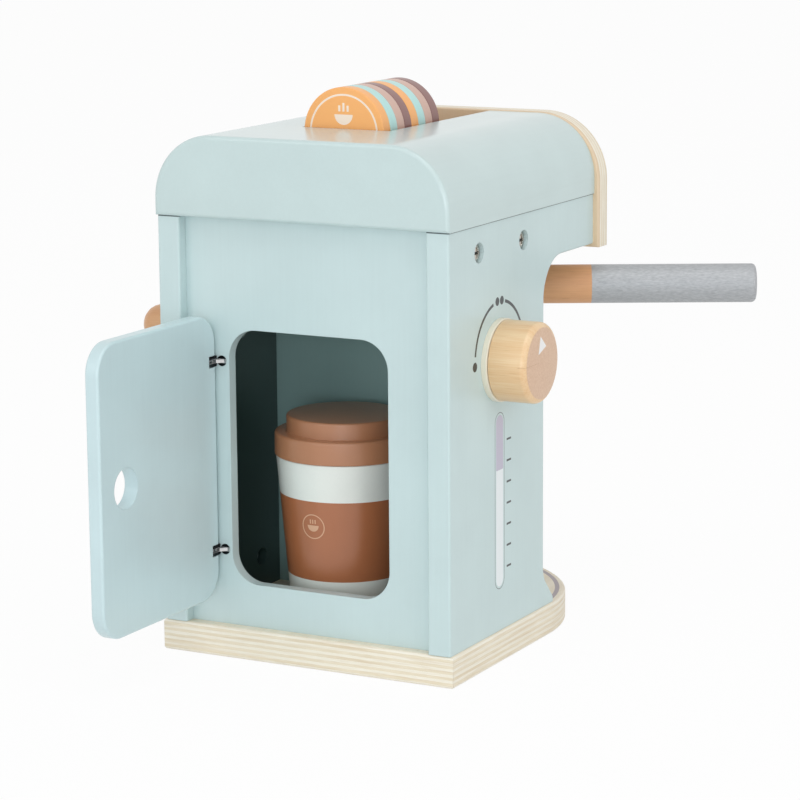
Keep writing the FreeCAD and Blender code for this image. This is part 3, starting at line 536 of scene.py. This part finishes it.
# %% [markdown]
# ## Filter handle
#
# One dowel, half bare and half dipped in silver paint. The paint is a metal flake in lacquer, so it is
# part metallic and rather rough, and the grain still shows in it as fine lines.

# %% Handle
TURN = math.radians(62.6)
ALONG = Vector((-math.sin(TURN), -math.cos(TURN), 0))
FILTER = Vector((0, BACK - 127.1, 162.5))


def handle_material():
    made, tree, shader = new_material("handle_beech_and_silver_paint", 0.5)
    x, y, z = places(tree)
    part = calc(tree, "MULTIPLY", calc(tree, "SUBTRACT", y, FILTER.y), ALONG.y)
    run = calc(tree, "MULTIPLY_ADD", x, ALONG.x, part)
    silver = inside(tree, calc(tree, "SUBTRACT", 79.7, run))
    turned = (0, 0, math.degrees(math.atan2(ALONG.y, ALONG.x)))
    bare = wood_layer(tree, "#e3ad7e", "#cb9267", (22, 1, 1), turned)
    lines = spread(tree, noise(tree, 0.6, stretch=(4, 1, 1), turn=turned), 0.3, 0.7)
    flakes = lay(tree, lines, colour("#a0a2a5"), colour("#b8babc"))
    tree.links.new(lay(tree, silver, bare, flakes), shader.inputs["Base Color"])
    tree.links.new(calc(tree, "MULTIPLY", silver, 0.3), shader.inputs["Metallic"])
    rounded_bump(tree, shader, lines, 0.04)
    return made


lathe("filter_handle_turned", [(0, 17.04, 0), (9.5, 17.04, 0), (9.5, 160.4, 2.2), (0, 160.4, 0)],
      FILTER, ALONG, "filter", handle_material(), ["filter_handle"])
dress("filter_holder", paint("filter_silver_paint", "#b8babb", 0.35, 0.2))

# %% [markdown]
# ## Capsules
#
# Eight discs in four colours. The first one shows its face: a pale ring and a small cup with steam, which
# is a plain motif of the same size as the print on the toy.

# %% Capsules
CAPSULES = {"orange": "#f8b26a", "mint": "#b6e0dd", "beige": "#d2ae9f", "brown": "#8d6560"}
CAPSULE_X, CAPSULE_Z = 4.7, 244.5


def capsule_print(tree, under):
    x, y, z = places(tree)
    across = calc(tree, "SUBTRACT", x, CAPSULE_X)
    up = calc(tree, "SUBTRACT", z, CAPSULE_Z)
    away = length(tree, across, up)
    face = inside(tree, calc(tree, "SUBTRACT", 39.6, y), 0.05)
    ring = between(tree, away, 17.1, 18.0)
    bowl = both(tree, dot(tree, across, up, 0.0, 8.4, 4.8), inside(tree, calc(tree, "SUBTRACT", up, 8.4)))
    plumes = []
    for shift, lift in ((-2.2, 0), (0, 1.2), (2.2, 0)):
        beside = between(tree, calc(tree, "SUBTRACT", across, shift), -0.55, 0.55)
        plumes.append(both(tree, beside, between(tree, up, 9.8, 12.6 + lift)))
    steam = either(tree, *plumes)
    return lay(tree, both(tree, face, either(tree, ring, bowl, steam)), under, colour("#f7e4d2"))


for place, kind in enumerate(["orange", "mint", "beige", "brown"] * 2):
    node = "capsule_%d_%s" % (place + 1, kind)
    prints = capsule_print if place == 0 else None
    skin = paint("capsule_%d_%s_satin_paint" % (place + 1, kind), CAPSULES[kind], 0.4, 0.15, (30, 1, 1), prints)
    low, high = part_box(node)
    lathe(node + "_turned", [(0, 0, 0), (21.1, 0, 0.5), (21.1, 7.0, 0.5), (0, 7.0, 0)],
          (CAPSULE_X, high.y / MM, CAPSULE_Z), (0, -1, 0), node, skin, [node])

# %% [markdown]
# ## Cup and lid
#
# The cup is white with a brown sleeve. The paint is sprayed up to tape, so the bands end sharply. The
# sleeve carries a small ring with the same plain cup motif. The lid is the sleeve's brown, a bit lighter.

# %% Cup
CUP_X, CUP_Y = 5.0, BACK - 50.0


def cup_bands(tree, under):
    x, y, z = places(tree)
    brown = paint_layer(tree, "#ad6b46", (1, 1, 1))
    shown = lay(tree, between(tree, z, 36.3, 75.2), under, brown)
    face = math.radians(MOTIF_TURN)
    side = calc(tree, "MULTIPLY_ADD", calc(tree, "SUBTRACT", x, CUP_X), math.cos(face),
                calc(tree, "MULTIPLY", calc(tree, "SUBTRACT", y, CUP_Y), math.sin(face)))
    front = calc(tree, "MULTIPLY_ADD", calc(tree, "SUBTRACT", x, CUP_X), -math.sin(face),
                 calc(tree, "MULTIPLY", calc(tree, "SUBTRACT", y, CUP_Y), math.cos(face)))
    up = calc(tree, "SUBTRACT", z, MOTIF_Z)
    away = length(tree, side, up)
    ring = between(tree, away, 5.5, 6.0)
    bowl = both(tree, dot(tree, side, up, 0.0, 0.6, 3.0), inside(tree, calc(tree, "SUBTRACT", up, 0.6)))
    steam = either(tree, *[both(tree, between(tree, calc(tree, "SUBTRACT", side, shift), -0.3, 0.3),
                                between(tree, up, 1.4, 3.4)) for shift in (-1.3, 0, 1.3)])
    motif = both(tree, either(tree, ring, bowl, steam), inside(tree, calc(tree, "MULTIPLY", front, -1.0)))
    return lay(tree, motif, shown, colour("#d3a584"))


MOTIF_TURN, MOTIF_Z = -2.0, 63.0
cup_paint = paint("cup_white_and_brown_gloss_paint", "#e7eae3", 0.3, 0.35, (1, 1, 1), cup_bands)
lid_paint = paint("lid_brown_satin_paint", "#b37c5a", 0.38, 0.25, (1, 1, 1))
lathe("cup_body_turned", [(0, 0, 0), (26.3, 0, 0.8), (33.0, 78.1, 0.6), (29.0, 78.1, 0.6), (22.3, 6.0, 1.5),
                          (0, 6.0, 0)],
      (CUP_X, CUP_Y, 15.0), (0, 0, 1), "cup", cup_paint, ["cup_body"])
lathe("cup_lid_turned", [(0, -5.0, 0), (28.0, -5.0, 0.5), (28.5, 0, 0), (33.6, 0, 0.6), (33.6, 11.1, 1.4),
                         (27.9, 11.1, 0.5), (27.9, 19.0, 1.2), (0, 19.0, 0)],
      (CUP_X, CUP_Y, 93.1), (0, 0, 1), "lid", lid_paint, ["cup_lid"])

# %% [markdown]
# ## Screws and hinges
#
# The screws in the side pockets have domed heads with a cross recess, pressed in here by lowering the
# points of a fine disc. Zinc plating is a bright but slightly cloudy metal. The crosses, and the hinge
# faces beside the links, are painted nearly black to match the shade in the photograph.

# %% Metal
def metal(name, pale, roughness, shade_mask=None):
    """Bright plating; the last argument makes the mask of what is painted nearly black as shade."""
    made, tree, shader = new_material(name, roughness, metallic=1.0)
    cloud = spread(tree, noise(tree, 2.0), 0.3, 0.7)
    shown = lay(tree, cloud, [c * 0.8 for c in colour(pale)[:3]] + [1.0], colour(pale))
    if shade_mask:
        shown = lay(tree, shade_mask(tree), shown, colour("#24272a"))
    tree.links.new(shown, shader.inputs["Base Color"])
    rounded_bump(tree, shader, noise(tree, 0.4), 0.01, 0.15)
    return made


def screw_points(head_x, y, z, way, steps=72, rings=22):
    """A domed head with a cross recess; way is the side that it faces along x. The shank follows."""
    head, height, shank, bite = 4.2, 2.6, 2.0, 30.5
    points, faces = [Vector((head_x - way * 1.1, y, z))], []
    for r in range(1, rings + 1):
        radius = head * r / rings
        for k in range(steps):
            a = 2 * math.pi * k / steps
            u, v = radius * math.cos(a), radius * math.sin(a)
            arm = min(abs(u), abs(v)) < 0.62 and max(abs(u), abs(v)) < 2.5
            drop = 1.1 if arm else 0.9 * (radius / head) ** 2
            points.append(Vector((head_x - way * drop, y + u, z + v)))
    outer = [(head, 1.0), (head, height), (shank, height), (shank, bite - 2.0), (0.4, bite)]
    for radius, depth in outer:
        for k in range(steps):
            a = 2 * math.pi * k / steps
            points.append(Vector((head_x - way * depth, y + radius * math.cos(a), z + radius * math.sin(a))))
    for k in range(steps):
        n = (k + 1) % steps
        faces.append([0, 1 + k, 1 + n])
        for r in range(rings - 1 + len(outer)):
            low = 1 + r * steps
            faces.append([low + k, low + steps + k, low + steps + n, low + n])
    last = 1 + (rings - 1 + len(outer)) * steps
    faces.append(list(range(last, last + steps)))
    return points, faces


# Painted shade in the screws' cross recesses.
def in_the_cross(tree):
    y, z = places(tree)[1:]
    u = calc(tree, "ABSOLUTE", calc(tree, "SUBTRACT", calc(tree, "WRAP", y, 83.65, 37.15), 60.4))
    v = calc(tree, "ABSOLUTE", calc(tree, "SUBTRACT", z, 195.7))
    arm = inside(tree, calc(tree, "SUBTRACT", calc(tree, "MINIMUM", u, v), 0.5), 0.1)
    return both(tree, arm, inside(tree, calc(tree, "SUBTRACT", calc(tree, "MAXIMUM", u, v), 2.5), 0.1))


# Painted shade on the hinge faces beside the links.
def beside_the_link(tree):
    off = calc(tree, "ABSOLUTE", calc(tree, "SUBTRACT", places(tree)[2], 96.0))
    beside = calc(tree, "ABSOLUTE", calc(tree, "SUBTRACT", off, 45.0))
    return inside(tree, calc(tree, "SUBTRACT", 1.0, beside), 0.2)


zinc = metal("screw_zinc_plated_steel", "#c6c2bb", 0.25)
crossed = metal("crossed_zinc_plated_steel", "#c9c4bb", 0.25, in_the_cross)
chrome = metal("hinge_nickel_plated_steel", "#d2d2d2", 0.3, beside_the_link)
for name, way in (("left_side_screws", -1), ("right_side_screws", 1)):
    points, faces = [], []
    for y in (BACK - 30.3, BACK - 76.8):
        some, patches = screw_points(way * 74.6, y, 195.7, way)
        faces += [[i + len(points) for i in patch] for patch in patches]
        points += some
    set_mesh(name + "_crossed", points, faces, "case", crossed, [name])
for node in nodes:
    if "hinge" in node:
        dress(node, chrome)
for node in ("base_screws", "dial_knob_screw", "peg_knob_screw", "filter_pivot_bolt"):
    dress(node, zinc)
dowel_wood = wood("dowel_beech_bare", "#dcb58c", "#c99d72", (1, 1, 20))
for node in ("cover_dowels", "front_panel_dowels"):
    dress(node, dowel_wood)
print("pieces dressed")

# %% [markdown]
# ## Studio
#
# A pale floor, even light from all round and four softboxes: overhead, beside the dial, beside the door and
# a low, faintly blue one behind. The floor and the background are white to the camera. It looks from behind,
# 28 degrees off the back and 11 degrees down, and was fitted to the photograph's straight edges.

# %% Floor and light
def white_to_camera(tree):
    path = add(tree, "LightPath")
    seen = calc(tree, "MAXIMUM", path.outputs["Is Camera Ray"], path.outputs["Is Glossy Ray"])
    return calc(tree, "MAXIMUM", seen, path.outputs["Is Transmission Ray"])


floor_mesh = bpy.data.meshes.new("floor")
floor_mesh.from_pydata([(-15, -15, 0), (15, -15, 0), (15, 15, 0), (-15, 15, 0)], [], [(0, 1, 2, 3)])
floor = bpy.data.objects.new("floor", floor_mesh)
floor.location.z = -0.0002
bpy.context.scene.collection.objects.link(floor)
paper = bpy.data.materials.new("floor_paper")
paper.use_nodes = True
tree = paper.node_tree
tree.nodes.clear()
flat = add(tree, "BsdfDiffuse", {"Color": colour("#f4f4f3")})
glow = add(tree, "Emission", {"Color": colour("#ffffff"), "Strength": 1.0})
share = calc(tree, "MULTIPLY", white_to_camera(tree), 0.94)
shown = add(tree, "MixShader", {0: share, 1: flat.outputs[0], 2: glow.outputs[0]})
add(tree, "OutputMaterial", {0: shown.outputs[0]})
floor_mesh.materials.append(paper)

world = bpy.data.worlds.new("studio")
bpy.context.scene.world = world
world.use_nodes = True
tree = world.node_tree
tree.nodes.clear()
soft = add(tree, "Background", {"Color": colour("#ffffff"), "Strength": 0.62})
plain = add(tree, "Background", {"Color": colour("#ffffff"), "Strength": 1.0})
shown = add(tree, "MixShader", {0: white_to_camera(tree), 1: soft.outputs[0], 2: plain.outputs[0]})
add(tree, "OutputWorld", {0: shown.outputs[0]})


def softbox(name, place, aim, size, watts, tint="#ffffff"):
    lamp = bpy.data.lights.new(name, "AREA")
    lamp.shape = "SQUARE"
    lamp.size = size
    lamp.energy = watts
    lamp.color = colour(tint)[:3]
    made = bpy.data.objects.new(name, lamp)
    made.location = place
    made.rotation_euler = (Vector(aim) - Vector(place)).to_track_quat("-Z", "Y").to_euler()
    bpy.context.scene.collection.objects.link(made)
    return made


softbox("overhead", (-0.5, 0.7, 1.9), (0, 0, 0.1), 1.3, 8.5)
softbox("dial_side", (-2.0, 0.4, 0.8), (0, 0, 0.12), 1.2, 6)
softbox("door_side", (0.7, 1.9, 0.9), (0, 0, 0.12), 1.2, 5)
softbox("low_fill", (-0.7, 1.9, 0.35), (0, 0, 0.1), 0.6, 7.5, "#eef6ff")

# %% Camera
def aim_camera(place, azimuth, elevation, roll, lens):
    """azimuth turns from -Y towards +X, elevation is how far down it looks, in degrees."""
    az, el, turn = (math.radians(a) for a in (azimuth, elevation, roll))
    ahead = Vector((math.cos(el) * math.sin(az), -math.cos(el) * math.cos(az), -math.sin(el)))
    right = ahead.cross(Vector((0, 0, 1))).normalized()
    up = right.cross(ahead)
    level_right = right * math.cos(turn) + up * math.sin(turn)
    level_up = -right * math.sin(turn) + up * math.cos(turn)
    data = bpy.data.cameras.new("camera")
    data.lens = lens
    data.sensor_width = 36.0
    data.clip_start = 0.05
    camera = bpy.data.objects.new("camera", data)
    facing = Matrix((level_right, level_up, -ahead)).transposed().to_4x4()
    camera.matrix_world = Matrix.Translation(place) @ facing
    bpy.context.scene.collection.objects.link(camera)
    bpy.context.scene.camera = camera


aim_camera((-0.665, 1.2527, 0.391), 27.86, 11.16, -0.43, 134.4)
bpy.context.scene.view_settings.view_transform = "Standard"
